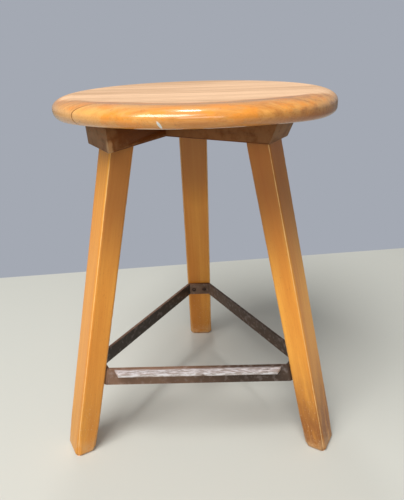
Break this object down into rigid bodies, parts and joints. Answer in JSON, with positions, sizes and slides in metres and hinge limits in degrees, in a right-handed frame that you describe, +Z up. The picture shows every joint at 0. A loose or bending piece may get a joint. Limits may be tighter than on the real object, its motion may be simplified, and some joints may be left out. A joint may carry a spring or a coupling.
{
  "type": "three-legged workshop stool",
  "caption": "Round wooden stool seat on a T-shaped underframe with splayed tapered legs and a bent steel foot ring with one folded tread.",
  "frame": {"origin": "on the floor at the stool's axis, the centre of the circle on which the three feet stand", "axes": "+Z up; +Y towards the back leg; -Y is the side seen in front"},
  "size_m": [0.3806, 0.3793, 0.47],
  "materials": {
    "seat_beech": "worn clear lacquer",
    "bearer_beech": "clear lacquer",
    "leg_beech": "clear lacquer",
    "dowel_beech": "raw",
    "brown_steel": "worn semi-gloss paint",
    "brown_screws": "worn semi-gloss paint",
    "plain_screws": "dull plated"
  },
  "bodies": {
    "root": {"seat_board_1": "seat_beech", "seat_board_2": "seat_beech", "seat_board_3": "seat_beech", "seat_board_4": "seat_beech", "seat_board_5": "seat_beech", "seat_board_6": "seat_beech", "seat_board_7": "seat_beech", "cross_bearer": "bearer_beech", "stem_bearer": "bearer_beech", "bearer_dowels": "dowel_beech", "leg_back": "leg_beech", "leg_front_left": "leg_beech", "leg_front_right": "leg_beech", "foot_ring": "brown_steel", "ring_screws_back": "brown_screws", "ring_screws_front_left": "brown_screws", "ring_screws_front_right": "brown_screws", "cross_bearer_screws": "plain_screws", "stem_bearer_screws": "plain_screws"}
  },
  "joints": []
}
